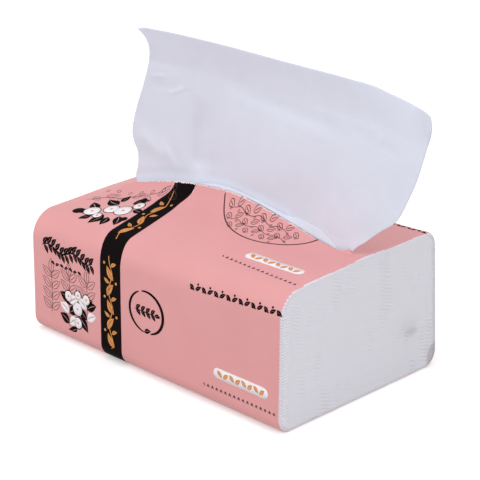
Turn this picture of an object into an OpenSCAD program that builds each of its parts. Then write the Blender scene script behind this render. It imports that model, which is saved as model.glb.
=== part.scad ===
// Soft pack of facial tissues: a printed film bag round a stack of interfolded sheets.
// The torn slot in the tented top lets out one sheet, and the next one follows it.
// X runs along the pack, Y across it and Z up. The origin is the centre of the base.

/* [Pack] */
// Length of the pack, end to end
pack_length = 180; // [140:1:230]
// Width of the base at the far end
pack_width = 108.4; // [80:0.1:140]
// How much further the front wall stands out at the near end
front_flare = 4.4; // [0:0.1:8]
// Height of the top corners at the far end
far_height = 63.4; // [45:0.1:90]
// Height of the front top corner at the near end
near_height = 71; // [45:0.1:95]
// How much higher the back top corner is at the near end
back_rise = 1.7; // [0:0.1:4]
// How far the walls lean in, in degrees
wall_lean = 1.5; // [0:0.1:4]
// Radius of the long edges at the base
base_radius = 8; // [4:0.5:14]
// Radius of the long edge at the front of the top
front_top_radius = 14; // [4:0.5:18]
// Radius of the long edge at the back of the top
back_top_radius = 8; // [4:0.5:16]
// Radius where the walls turn into the ends
end_radius = 2; // [1.5:0.1:6]

/* [Film] */
// Wall of the film bag
film_wall = 0.6; // [0.4:0.05:1.2]
// Height that the lips of the slot stand above the top corners
tent_lift = 17.2; // [8:0.1:26]
// Crown of the top at the near end
near_crown = 2; // [0:0.1:4]
// Distance from the far end to the torn slot
slot_far_margin = 19; // [6:0.5:30]
// Distance from the near end to the torn slot
slot_near_margin = 7; // [5:0.5:20]
// Width of the torn slot at its middle
slot_width = 8; // [5:0.5:14]

/* [Tissues] */
// Clearance between the film and what it holds
film_gap = 0.4; // [0.2:0.05:1]
// Height of one fold of the stack
fold_pitch = 2.4; // [1.8:0.1:6]
// Depth of the groove between two folds
fold_groove = 0.7; // [0.2:0.1:1.5]
// Thickness of one sheet, ply on ply
sheet_thickness = 0.4; // [0.3:0.05:0.8]
// Height of the drawn sheet's top edge over the base
sheet_top = 158; // [120:1:180]
// How far the drawn sheet's near corner stands past the slot
sheet_overhang = 42; // [20:1:60]
// Length of the drawn sheet that still lies on the stack
sheet_foot = 24; // [10:1:36]
// How far the next sheet stands above the lip
next_rise = 3.6; // [1:0.1:10]

/* [Print] */
// Place of the dark band's middle along the pack
band_place = -30.4; // [-45:0.1:-20]
// Width of the dark band
band_width = 15.3; // [6:0.1:24]
// Depth that the dark band is let into the film
band_depth = 0.3; // [0.15:0.05:0.35]
// Thickness of the printed fields
ink = 0.2; // [0.1:0.05:0.4]
// Outer diameter of the ring on the walls
ring_diameter = 23.4; // [12:0.1:32]
// Width of the ring's line
ring_line = 1.9; // [0.6:0.1:3]
// Outer radius of the large circle on the top
circle_radius = 34; // [20:0.5:38]
// Width of the large circle's line
circle_line = 0.8; // [0.4:0.1:2]
// Length of the white labels
label_length = 37; // [20:1:48]
// Height of the white labels
label_height = 5.6; // [3:0.1:9]
// Length of one leaf of the sprigs
leaf_length = 8; // [5:0.5:10]

/* [Hidden] */

half_length = pack_length / 2;
lean_slope = tan(wall_lean);
peak_place = -2;
far_power = 0.95;
near_power = 1.8;
lip_share = 0.5;
lip_power = 16;
hump_power = 4;
ink_gap = 0.05;
slope_gap = 0.3;

// Steps on the top slope, in each corner arc, along the slot and round each end
slope_steps = 6;
arc_steps = 4;
slot_steps = 24;
end_steps = 2;

function smooth(t) = let (c = min(1, max(0, t))) c * c * (3 - 2 * c);

// The outside of the pack. side is -1 in front and 1 at the back
function along(x) = (x + half_length) / pack_length;
function corner_height(x, side) = far_height + (near_height - far_height + max(0, side) * back_rise) * along(x);
function half_width(x, side) = pack_width / 2 + (side < 0 ? front_flare * along(x) : 0);
function top_radius(side) = side < 0 ? front_top_radius : back_top_radius;

// The slot is a lens: half an ellipse on each side of the sheet
slot_start = slot_far_margin - half_length;
slot_end = half_length - slot_near_margin;
slot_length = slot_end - slot_start;
slot_middle = (slot_start + slot_end) / 2;
function slot_half(x) =
    slot_width / 2 * sqrt(max(0, 1 - pow((x - slot_middle) / (slot_length / 2), 2)));

// The tent stands up in half a wave, steep at its far end and drawn out at its near one
function tent(x) =
    let (reach = x < peak_place ? half_length + peak_place : half_length - peak_place,
         wave = max(0, cos(90 * (x - peak_place) / reach)))
    tent_lift * pow(wave, x < peak_place ? far_power : near_power);

// The slopes rise straight to a crest. Above it the lips of the slot turn up, and past its ends is a round hump
function crest_height(x) = corner_height(x, -1) + near_crown * max(0, along(x)) + (1 - lip_share) * tent(x);
slope_shares = [for (k = [0:slope_steps]) pow(k / slope_steps, 2)];
lip_table = [for (s = slope_shares) [s, pow(1 - s, lip_power)]];
hump_table = [for (s = slope_shares) [s, pow(1 - s * s, hump_power)]];
function curl_height(x, s) =
    let (open = smooth(4 * slot_half(x) / slot_width))
    lip_share * tent(x) * (open * lookup(s, lip_table) + (1 - open) * lookup(s, hump_table));
function lip_height(x) = crest_height(x) + lip_share * tent(x);

// Centre of a long edge's arc, and the angle where the slope meets the top one as a tangent
function arc_centre(x, side, r, z) = [side * (half_width(x, side) - lean_slope * z - r / cos(wall_lean)), z];
function top_centre(x, side) = arc_centre(x, side, top_radius(side), corner_height(x, side) - top_radius(side));
function slope_turn(x, side) =
    let (centre = top_centre(x, side),
         across = slot_half(x) - abs(centre[0]),
         rise = crest_height(x) - centre[1])
    atan2(rise, across) - acos(top_radius(side) / norm([across, rise]));

// One half of the section at x, let in by inset, from the lip down to the base
function half_section(x, inset, side) =
    let (top = top_centre(x, side),
         top_r = top_radius(side) - inset,
         low = arc_centre(x, side, base_radius, base_radius),
         lip = side * slot_half(x),
         turn = slope_turn(x, side),
         foot = top + top_r * [side * cos(turn), sin(turn)],
         crest = crest_height(x) - inset)
    concat(
        [for (k = [0:slope_steps - 1]) let (s = slope_shares[k])
            [lip + s * (foot[0] - lip), foot[1] + (1 - s) * (crest - foot[1]) + curl_height(x, s)]],
        [for (k = [0:arc_steps]) let (a = turn - (turn - wall_lean) * k / arc_steps)
            top + top_r * [side * cos(a), sin(a)]],
        [for (k = [0:arc_steps]) let (a = wall_lean - (90 + wall_lean) * k / arc_steps)
            low + (base_radius - inset) * [side * cos(a), sin(a)]]);

function reversed(list) = [for (k = [len(list) - 1:-1:0]) list[k]];
function reversed_faces(faces) = [for (f = faces) reversed(f)];

// The whole section, from the front lip round under the base to the back lip
function section(x, inset) =
    [for (p = concat(half_section(x, inset, -1), reversed(half_section(x, inset, 1)))) [x, p[0], p[1]]];
section_points = 2 * (slope_steps + 2 * arc_steps + 2);

// Stations along the pack, each with its place and how far its section is let in
band_start = band_place - band_width / 2;
band_end = band_place + band_width / 2;
slot_stations = [for (k = [0:slot_steps]) slot_start + slot_length * (1 - cos(180 * k / slot_steps)) / 2];
station_room = 0.8;

function end_ring(depth, k) =
    let (a = 90 * k / end_steps)
    [half_length - end_radius + (end_radius - depth) * sin(a), end_radius - (end_radius - depth) * cos(a)];

// The outer skin steps in under the band, and the inner one passes the step at a slant
function stations(depth, recess, slant) = concat(
    [for (k = [end_steps:-1:0]) [-end_ring(depth, k)[0], end_ring(depth, k)[1]]],
    [for (x = slot_stations) if (x < band_start - station_room) [x, depth]],
    [[band_start - slant, depth], [band_start + slant, depth + recess],
     [band_end - slant, depth + recess], [band_end + slant, depth]],
    [for (x = slot_stations) if (x > band_end + station_room) [x, depth]],
    [for (k = [0:end_steps]) end_ring(depth, k)]);

// Four corners make two triangles
function quad(a, b, c, d) = [[a, b, c], [a, c, d]];

// Number of a section's point, where the two lips share one point past the slot's ends
function is_open(x) = slot_half(x) > 0.01;
function ring_point(rings, s, j, first) =
    first + s * section_points + (j == section_points - 1 && !is_open(rings[s][0]) ? 0 : j);

// Faces of one skin of the bag: strips from ring to ring, and each end face as a fan round its middle
function end_middles(rings) =
    [for (r = [rings[0], rings[len(rings) - 1]]) [r[0], 0, corner_height(r[0], -1) / 2]];
function skin_faces(rings, first, middle) =
    let (last = len(rings) - 1, turns = section_points - 2)
    concat(
        [for (s = [0:last - 1]) for (j = [0:turns])
            each quad(ring_point(rings, s, j, first), ring_point(rings, s + 1, j, first),
                      ring_point(rings, s + 1, j + 1, first), ring_point(rings, s, j + 1, first))],
        [for (j = [0:turns])
            [middle, ring_point(rings, 0, j, first), ring_point(rings, 0, j + 1, first)]],
        [for (j = [0:turns])
            [middle + 1, ring_point(rings, last, j + 1, first), ring_point(rings, last, j, first)]]);

function lip_faces(rings, j, second) =
    [for (s = [0:len(rings) - 2]) if (is_open(rings[s][0]) || is_open(rings[s + 1][0]))
        each quad(ring_point(rings, s, j, 0), ring_point(rings, s, j, second),
                  ring_point(rings, s + 1, j, second), ring_point(rings, s + 1, j, 0))];

// The bag: an outer and an inner skin that meet along the two lips of the slot
module film_wrapper() {
    outer = stations(0, band_depth, 0);
    inner = stations(film_wall, 0, station_room / 4);
    second = len(outer) * section_points;
    middles = second + len(inner) * section_points;
    color("#dd9d9f")
        polyhedron(
            points = concat([for (r = concat(outer, inner)) each section(r[0], r[1])],
                            end_middles(outer), end_middles(inner)),
            faces = concat(
                skin_faces(outer, 0, middles),
                reversed_faces(skin_faces(inner, second, middles + 2)),
                lip_faces(outer, 0, second),
                reversed_faces(lip_faces(outer, section_points - 1, second))),
            convexity = 6);
}

// The dark band: a strip of the section, let flush into the bag and open at the slot
module printed_band() {
    outer = [for (x = [band_start + ink_gap, band_end - ink_gap]) each section(x, 0)];
    inner = [for (x = [band_start + ink_gap, band_end - ink_gap]) each section(x, band_depth - ink_gap)];
    n = section_points;
    color("#14110f")
        polyhedron(
            points = concat(outer, inner),
            faces = concat(
                [for (j = [0:n - 2]) each quad(j, n + j, n + j + 1, j + 1)],
                [for (j = [0:n - 2]) each reversed_faces(quad(2 * n + j, 3 * n + j, 3 * n + j + 1, 2 * n + j + 1))],
                [for (j = [0:n - 2]) each quad(j, j + 1, 2 * n + j + 1, 2 * n + j)],
                [for (j = [0:n - 2]) each quad(n + j, 3 * n + j, 3 * n + j + 1, n + j + 1)],
                quad(0, 2 * n, 3 * n, n),
                quad(n - 1, 2 * n - 1, 4 * n - 1, 3 * n - 1)),
            convexity = 6);
}

// The stack fills the bag under its tent, with a groove where one fold meets the next
held_inset = film_wall + film_gap;
stack_folds = max(4, round((min(far_height, near_height) - 2 * held_inset) / fold_pitch));
function stack_top(x) = corner_height(x, -1) - held_inset;
function held_half_width(x, side, z) =
    let (low = arc_centre(x, side, base_radius, base_radius),
         top = top_centre(x, side))
    z < low[1] ? abs(low[0]) + sqrt(max(0, pow(base_radius - held_inset, 2) - pow(low[1] - z, 2)))
    : z > top[1] ? abs(top[0]) + sqrt(max(0, pow(top_radius(side) - held_inset, 2) - pow(z - top[1], 2)))
    : half_width(x, side) - lean_slope * z - held_inset / cos(wall_lean);

// How far a rounded edge draws back at height h over the face it turns into
function edge_round(h) =
    h >= end_radius ? 0 : end_radius - sqrt(pow(end_radius, 2) - pow(end_radius - h, 2));

// One ring of the stack at a share of its height, with round upright edges, pinched all round by groove
function stack_ring(share, groove) =
    let (height = min(far_height, near_height) - 2 * held_inset,
         pinch = max(groove, edge_round(height * min(share, 1 - share))),
         end = half_length - held_inset - pinch)
    [for (corner = [[1, -1], [1, 1], [-1, 1], [-1, -1]]) for (k = [0:2])
        let (turn = corner[0] * corner[1] > 0 ? k : 2 - k,
             x = corner[0] * (end - end_radius * (1 - cos(45 * turn))),
             z = held_inset + share * (stack_top(x) - held_inset),
             y = corner[1] * (held_half_width(x, corner[1], z) - groove - end_radius * (1 - sin(45 * turn))))
        [x, y, z]];

module tissue_stack() {
    shares = [for (k = [0:2 * stack_folds]) k / (2 * stack_folds)];
    rings = [for (k = [0:2 * stack_folds]) stack_ring(shares[k], k % 2 == 0 ? fold_groove : 0)];
    n = len(rings[0]);
    last = len(rings) - 1;
    color("#dad6e0")
        polyhedron(
            points = [for (r = rings) each r],
            faces = concat(
                [for (s = [0:last - 1]) for (j = [0:n - 1]) let (m = (j + 1) % n)
                    each quad(s * n + j, (s + 1) * n + j, (s + 1) * n + m, s * n + m)],
                [[for (j = [0:n - 1]) j]],
                [[for (j = [n - 1:-1:0]) last * n + j]]),
            convexity = 4);
}

// A sheet's solid from a grid of points: each point is moved half the thickness both ways, across its column
function column_normal(column, r) =
    let (a = column[max(r - 1, 0)],
         b = column[min(r + 1, len(column) - 1)],
         run = sqrt(pow(b[1] - a[1], 2) + pow(b[2] - a[2], 2)))
    [0, -(b[2] - a[2]) / run, (b[1] - a[1]) / run];

function moved_grid(grid, distance) =
    [for (column = grid) for (r = [0:len(column) - 1]) column[r] + distance * column_normal(column, r)];

module sheet_solid(grid) {
    columns = len(grid);
    rows = len(grid[0]);
    n = columns * rows;
    function at(c, r) = c * rows + r;
    polyhedron(
        points = concat(moved_grid(grid, sheet_thickness / 2), moved_grid(grid, -sheet_thickness / 2)),
        faces = concat(
            [for (c = [0:columns - 2]) for (r = [0:rows - 2])
                let (face = quad(at(c, r), at(c, r + 1), at(c + 1, r + 1), at(c + 1, r)))
                each concat(face, [for (f = face) reversed(f + [n, n, n])])],
            [for (c = [0:columns - 2]) each quad(at(c, 0), at(c + 1, 0), n + at(c + 1, 0), n + at(c, 0))],
            [for (c = [0:columns - 2]) let (r = rows - 1)
                each quad(at(c, r), n + at(c, r), n + at(c + 1, r), at(c + 1, r))],
            [for (r = [0:rows - 2]) each quad(at(0, r), n + at(0, r), n + at(0, r + 1), at(0, r + 1))],
            [for (r = [0:rows - 2]) let (c = columns - 1)
                each quad(at(c, r), at(c, r + 1), n + at(c, r + 1), n + at(c, r))]),
        convexity = 10);
}

// A sheet lies on the stack, turns up and goes out through the slot, here as far as its lips
bend_radius = 1.6;
bend_steps = 3;
function sheet_root(x, y, side, foot) =
    let (z = stack_top(x) + film_gap + sheet_thickness / 2)
    concat(
        [for (k = [0:1]) [x, y + side * (foot * (1 - k / 2) + bend_radius), z]],
        [for (k = [0:bend_steps]) let (a = 90 * k / bend_steps)
            [x, y + side * bend_radius * (1 - sin(a)), z + bend_radius * (1 - cos(a))]]);

// The drawn sheet: u runs along it from its far to its near edge, t from the lips to its top edge
sheet_length = pack_length - 2 * held_inset;
root_far_margin = 4;
root_near_margin = 3;
root_far = slot_start + root_far_margin;
root_near = slot_end - root_near_margin;
drawn_columns = 24;
drawn_rows = 9;
drawn_place = -0.1;
drawn_ripple = 0.15;
corner_drop = 7;

function drawn_far_edge(t) = root_far + (root_near + sheet_overhang - sheet_length - root_far) * smooth(t * 1.4 - 0.35);
function drawn_near_edge(t) = root_near + sheet_overhang * (1 - pow(1 - t, 2.2));
function drawn_point(u, t) =
    let (root = root_far + u * (root_near - root_far),
         lip = lip_height(root),
         top = sheet_top - corner_drop * pow(u, 10),
         swell = sin(180 * min(1, t * 1.1)))
    [(1 - u) * drawn_far_edge(t) + u * drawn_near_edge(t),
     slot_half(root) * (drawn_place + drawn_ripple * sin(1080 * u)) * (1 - t)
         + swell * (2.2 * sin(760 * u + 40) + 1.5 * sin(1300 * u)) + 5 * t * t * (2 * u - 0.8),
     lip + t * (top - lip)];

module pulled_tissue() {
    color("#e4e0ec")
        sheet_solid([for (c = [0:drawn_columns]) let (u = c / drawn_columns, first = drawn_point(u, 0),
                                                      root = root_far + u * (root_near - root_far))
            concat(
                sheet_root(root, first[1], 1, sheet_foot),
                [for (r = [0:drawn_rows]) drawn_point(u, r / drawn_rows)])]);
}

// The next sheet follows in front of the drawn one, and shows as a low white edge on the near half of the slot
next_columns = 18;
next_near_margin = 7;
next_near = slot_end - next_near_margin;
next_place = -0.62;
next_lean = 0.12;
next_sink = 1.2;
next_hem = 0.6;

module next_tissue() {
    color("#f0eef6")
        sheet_solid([for (c = [0:next_columns])
            let (u = c / next_columns,
                 x = root_far + u * (next_near - root_far),
                 y = next_place * slot_half(x),
                 seen = smooth(3.6 * u - 1.9) * smooth(9 - 8.4 * u),
                 top = next_hem + (next_rise + next_sink) * seen)
            concat(
                sheet_root(x, y, -1, sheet_foot),
                [[x, y, lip_height(x) - next_sink],
                 [x, y - next_lean * top, lip_height(x) - next_sink + top]])]);
}

// Printed fields on a wall are plates on its plane, drawn in the wall's own x and height
flare_turn = atan(front_flare / pack_length);
front_lean = atan(lean_slope * cos(flare_turn));
module on_front(x, z) {
    translate([x, lean_slope * z - half_width(x, -1), z])
        rotate([0, 0, -flare_turn])
            rotate([90 - front_lean, 0, 0])
                linear_extrude(ink)
                    children();
}

module on_back(x, z) {
    translate([x, half_width(x, 1) - lean_slope * z, z])
        rotate([0, 0, 180])
            rotate([90 - wall_lean, 0, 0])
                linear_extrude(ink)
                    children();
}

module on_walls(x, z) {
    on_front(x, z) children();
    on_back(x, z) children();
}

// Printed fields on the top follow its slope, between two edges given as points in plan
function slope_height(x, y) =
    let (side = y < 0 ? -1 : 1,
         top = top_centre(x, side),
         turn = slope_turn(x, side),
         foot = [abs(top[0]) + top_radius(side) * cos(turn), top[1] + top_radius(side) * sin(turn)],
         lip = slot_half(x),
         s = max(0, (abs(y) - lip) / (foot[0] - lip)))
    s < 1 ? foot[1] + (1 - s) * (crest_height(x) - foot[1]) + curl_height(x, s)
    : top[1] + sqrt(max(0, pow(top_radius(side), 2) - pow(abs(y) - abs(top[0]), 2)));
function on_slope(p, rise) = [p[0], p[1], slope_height(p[0], p[1]) + slope_gap + rise];

module slope_ribbon(left, right) {
    last = len(left) - 1;
    polyhedron(
        points = [for (k = [0:last]) each [on_slope(left[k], 0), on_slope(right[k], 0),
                                           on_slope(right[k], ink), on_slope(left[k], ink)]],
        faces = concat(
            [for (k = [0:last - 1])
                each concat(quad(4 * k, 4 * k + 1, 4 * k + 5, 4 * k + 4),
                            quad(4 * k + 1, 4 * k + 2, 4 * k + 6, 4 * k + 5),
                            reversed_faces(quad(4 * k + 3, 4 * k + 2, 4 * k + 6, 4 * k + 7)),
                            quad(4 * k + 3, 4 * k, 4 * k + 4, 4 * k + 7))],
            quad(3, 2, 1, 0),
            quad(4 * last, 4 * last + 1, 4 * last + 2, 4 * last + 3)),
        convexity = 4);
}

// A ring on each wall
ring_place = [-4.1, 33.5];
print_rounds = 40;
module printed_rings() {
    color("#241a18")
        on_walls(ring_place[0], ring_place[1])
            difference() {
                circle(d = ring_diameter, $fn = print_rounds);
                circle(d = ring_diameter - 2 * ring_line, $fn = print_rounds);
            }
}

// A large circle on the front slope, which the slot cuts off
circle_far_margin = 123;
circle_place = [circle_far_margin - half_length, 13];
circle_steps = 28;
function circle_point(a, r) = circle_place + r * [cos(a), sin(a)];
module printed_circle() {
    start = 180 + asin((circle_place[1] + slot_width / 2 + circle_line) / circle_radius);
    turns = [for (k = [0:circle_steps]) start + (540 - 2 * start) * k / circle_steps];
    color("#4a2f30")
        slope_ribbon([for (a = turns) circle_point(a, circle_radius - circle_line)],
                     [for (a = turns) circle_point(a, circle_radius)]);
}

// White labels with round ends, on the walls and on the front slope
label_near_margin = 26;
label_place = [half_length - label_near_margin, 19];
slope_label_near_margin = 28.5;
slope_label_place = [half_length - slope_label_near_margin, -31];
label_steps = 12;
module label_outline() {
    square([label_length - label_height, label_height], center = true);
    for (side = [-1, 1])
        translate([side * (label_length - label_height) / 2, 0])
            circle(d = label_height, $fn = print_rounds);
}

function label_half(x) =
    let (past = max(0, abs(x) - (label_length - label_height) / 2))
    max(0.1, sqrt(max(0, pow(label_height / 2, 2) - past * past)));

module printed_labels() {
    runs = [for (k = [0:label_steps]) -cos(180 * k / label_steps) * label_length / 2];
    color("#f4f1f4") {
        on_walls(label_place[0], label_place[1])
            label_outline();
        slope_ribbon([for (x = runs) slope_label_place + [x, label_half(x)]],
                     [for (x = runs) slope_label_place + [x, -label_half(x)]]);
    }
}

// A leaf runs from its foot to its point between two parabolas; a sprig is a stem with pairs of leaves
leaf_width = 0.42;
leaf_steps = 4;
function leaf_half(q, length) = length / 2 * leaf_width * (1 - q * q);
module leaf(length) {
    runs = [for (k = [0:leaf_steps]) 2 * k / leaf_steps - 1];
    inner_runs = [for (k = [1:leaf_steps - 1]) 1 - 2 * k / leaf_steps];
    polygon(concat([for (q = runs) [length / 2 * (q + 1), -leaf_half(q, length)]],
                   [for (q = inner_runs) [length / 2 * (q + 1), leaf_half(q, length)]]));
}

stem_width = 0.9;
leaf_spacing = 0.72;
module sprig(pairs) {
    rotate(90)
        translate([0, -stem_width / 2])
            square([leaf_spacing * leaf_length * (pairs + 0.2), stem_width]);
    for (k = [1:pairs]) {
        for (side = [-1, 1])
            translate([side * stem_width / 2, leaf_spacing * leaf_length * (k - 0.6)])
                rotate(90 - side * 48)
                    leaf(leaf_length);
    }
    translate([0, leaf_spacing * leaf_length * (pairs + 0.05)])
        rotate(90)
            leaf(leaf_length);
}

// As many sprigs as fit between the far end and the band, on feet of three heights
sprig_far_margin = 15;
sprig_band_margin = 9;
sprig_pitch = 13;
sprig_lifts = [5, 1, 7];
sprig_start = sprig_far_margin - half_length;
sprig_run = max(0, band_start - sprig_band_margin - sprig_start);
sprig_gaps = floor(sprig_run / sprig_pitch);
function sprig_pairs(foot) =
    max(1, floor((far_height - front_top_radius - foot) / (leaf_spacing * leaf_length) - 1.6));
module printed_sprigs() {
    color("#5a3a36")
        for (k = [0:sprig_gaps]) {
            foot = base_radius + sprig_lifts[k % len(sprig_lifts)];
            on_walls(sprig_start + k * sprig_run / max(1, sprig_gaps), foot)
                sprig(sprig_pairs(foot));
        }
}

// Amber leaves down the band, turned this way and that: plates on the walls, ribbons on the slope
band_leaf_pitch = 9;
band_leaf_first = 12;
band_leaf_tilt = 35;
band_leaf_length = 8.4;
wall_leaves = floor((far_height - front_top_radius - band_leaf_first) / band_leaf_pitch);
slope_leaf_places = [-41, -30, -19];
slope_leaf_steps = 8;

function slope_leaf(y, side, turn) =
    [for (k = [0:slope_leaf_steps])
        let (q = k / slope_leaf_steps * 2 - 1,
             h = max(0.08, leaf_half(q, band_leaf_length)),
             along_leaf = band_leaf_length / 2 * q)
        [band_place + along_leaf * sin(turn) + side * h * cos(turn),
         y + along_leaf * cos(turn) - side * h * sin(turn)]];

module band_leaves() {
    color("#d9962e") {
        for (k = [0:wall_leaves])
            on_walls(band_place, band_leaf_first + k * band_leaf_pitch)
                rotate(90 + (k % 2 == 0 ? band_leaf_tilt : -band_leaf_tilt))
                    translate([-band_leaf_length / 2, 0])
                        leaf(band_leaf_length);
        for (k = [0:len(slope_leaf_places) - 1]) {
            turn = k % 2 == 0 ? band_leaf_tilt : -band_leaf_tilt;
            slope_ribbon(slope_leaf(slope_leaf_places[k], -1, turn), slope_leaf(slope_leaf_places[k], 1, turn));
        }
    }
}

film_wrapper();
tissue_stack();
next_tissue();
pulled_tissue();
printed_band();
band_leaves();
printed_rings();
printed_circle();
printed_labels();
printed_sprigs();
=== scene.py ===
"""Soft pack of facial tissues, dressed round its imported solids.

Every shape is worked out in millimetres in the row's frame, X along the pack,
Y across it and Z up, and goes into its mesh in metres.
"""

import bmesh
import bpy
import numpy as np
from mathutils import Matrix


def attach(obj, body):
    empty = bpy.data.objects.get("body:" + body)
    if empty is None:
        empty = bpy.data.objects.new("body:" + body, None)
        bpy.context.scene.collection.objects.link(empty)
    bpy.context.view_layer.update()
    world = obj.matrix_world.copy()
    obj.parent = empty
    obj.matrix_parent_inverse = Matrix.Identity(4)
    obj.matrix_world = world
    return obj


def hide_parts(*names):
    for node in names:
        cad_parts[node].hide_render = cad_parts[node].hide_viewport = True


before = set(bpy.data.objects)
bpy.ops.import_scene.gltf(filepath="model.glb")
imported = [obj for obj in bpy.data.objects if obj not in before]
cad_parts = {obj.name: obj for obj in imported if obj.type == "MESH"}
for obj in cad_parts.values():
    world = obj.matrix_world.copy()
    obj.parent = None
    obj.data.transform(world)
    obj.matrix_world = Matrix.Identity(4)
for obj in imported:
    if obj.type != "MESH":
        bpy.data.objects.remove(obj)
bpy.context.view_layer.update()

rng = np.random.default_rng(4)


# ---- The photograph's view -------------------------------------------------------------
# A long lens in front of the near right corner, looking down about 22 degrees. The row's
# frame is seen at a quarter turn, with a hair of roll.
view_turn, view_fall, view_roll = np.radians((45.164, 21.765, -0.853))
look = np.array((
    -np.sin(view_turn) * np.cos(view_fall),
    np.cos(view_turn) * np.cos(view_fall),
    -np.sin(view_fall),
))
level = np.cross(look, (0, 0, 1)) / np.cos(view_fall)
upright = np.cross(level, look)
right = level * np.cos(view_roll) + upright * np.sin(view_roll)
up = upright * np.cos(view_roll) - level * np.sin(view_roll)

camera = bpy.data.objects.new("camera", bpy.data.cameras.new("camera"))
camera.data.lens = 180
camera.data.sensor_width = 36
camera.data.clip_end = 20
axes = Matrix([(right[k], up[k], -look[k]) for k in range(3)]).to_4x4()
camera.matrix_world = Matrix.Translation((0.79034, -0.77851, 0.50024)) @ axes
bpy.context.scene.collection.objects.link(camera)
bpy.context.scene.camera = camera


# ---- The printed film sleeve -----------------------------------------------------------
# One tube of thin plastic film, printed pink on its outside, pulled tight round the long
# sides of the stack. Its top is torn open along a perforated slot, and the pull of the
# drawn sheet has left it standing up like a tent, with the lips ragged and a little pale.
half_length = 90.0
base_width, front_flare = 108.4, 4.4
far_height, near_height, back_rise = 63.4, 71.0, 1.7
wall_lean = np.radians(1.5)
front_top_radius, back_top_radius, base_radius, end_radius = 14.0, 8.0, 8.0, 2.0
tent_lift, tent_peak, far_power, near_power = 17.2, -2.0, 0.95, 1.8
near_crown = 2.0
slot_start, slot_end, slot_width = -71.0, 83.0, 8.0


def smooth(value, low=0.0, high=1.0):
    """Rises from 0 at low to 1 at high as 3 q^2 - 2 q^3."""
    q = np.clip((value - low) / (high - low), 0, 1)
    return q * q * (3 - 2 * q)


def along(x):
    """Share of the way from the far end to the near one."""
    return (x + half_length) / (2 * half_length)


def corner_height(x, side=-1):
    """Height of a top corner, which rises evenly to the near end, more at the back, side 1."""
    climb = near_height - far_height + np.where(np.asarray(side) > 0, back_rise, 0)
    return far_height + climb * along(x)


def half_width(x, side):
    """Half the width at the base; only the front wall, side -1, flares towards the near end."""
    return base_width / 2 + np.where(side < 0, front_flare * along(x), 0)


def tent(x):
    """Rise of the lips: a cosine half wave, to the power 0.95 on the far side and 1.8 on the near."""
    far = x < tent_peak
    reach = np.where(far, half_length + tent_peak, half_length - tent_peak)
    wave = np.clip(np.cos(np.pi / 2 * (x - tent_peak) / reach), 0, 1)
    return tent_lift * wave ** np.where(far, far_power, near_power)


def slot_half(x):
    """Half the width of the slot, which is a long ellipse."""
    middle, half = (slot_start + slot_end) / 2, (slot_end - slot_start) / 2
    return slot_width / 2 * np.sqrt(np.clip(1 - ((x - middle) / half) ** 2, 0, 1))


def crest_height(x):
    """Height where the two straight slopes would meet: the front corner, the crown and half the tent."""
    return corner_height(x) + near_crown * along(x) + 0.5 * tent(x)


def lip_height(x):
    return crest_height(x) + 0.5 * tent(x)


def top_corner(x, side):
    """Centre and radius of the top corner's arc, and the angle where the slope meets it as a tangent."""
    radius = np.where(np.asarray(side) < 0, front_top_radius, back_top_radius)
    z = corner_height(x, side) - radius
    y = half_width(x, side) - np.tan(wall_lean) * z - radius / np.cos(wall_lean)
    across, rise = slot_half(x) - y, crest_height(x) - z
    return y, z, radius, np.arctan2(rise, across) - np.arccos(radius / np.hypot(across, rise))


def film_ripple(x, way, side):
    """Soft waves of the film, in mm: three crossed sines that die away at the lips and the base."""
    waves = (
        0.20 * np.sin(x / 23 + 1.4 * side) * np.sin(1.7 * way + 0.5)
        + 0.10 * np.sin(x / 11.5 + 2.3 * way + side)
        + 0.04 * np.sin(x / 5.2 - 3.1 * way)
    )
    return waves * smooth(way, 0, 0.25) * (1 - smooth(way, 3.0, 3.8))


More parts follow.
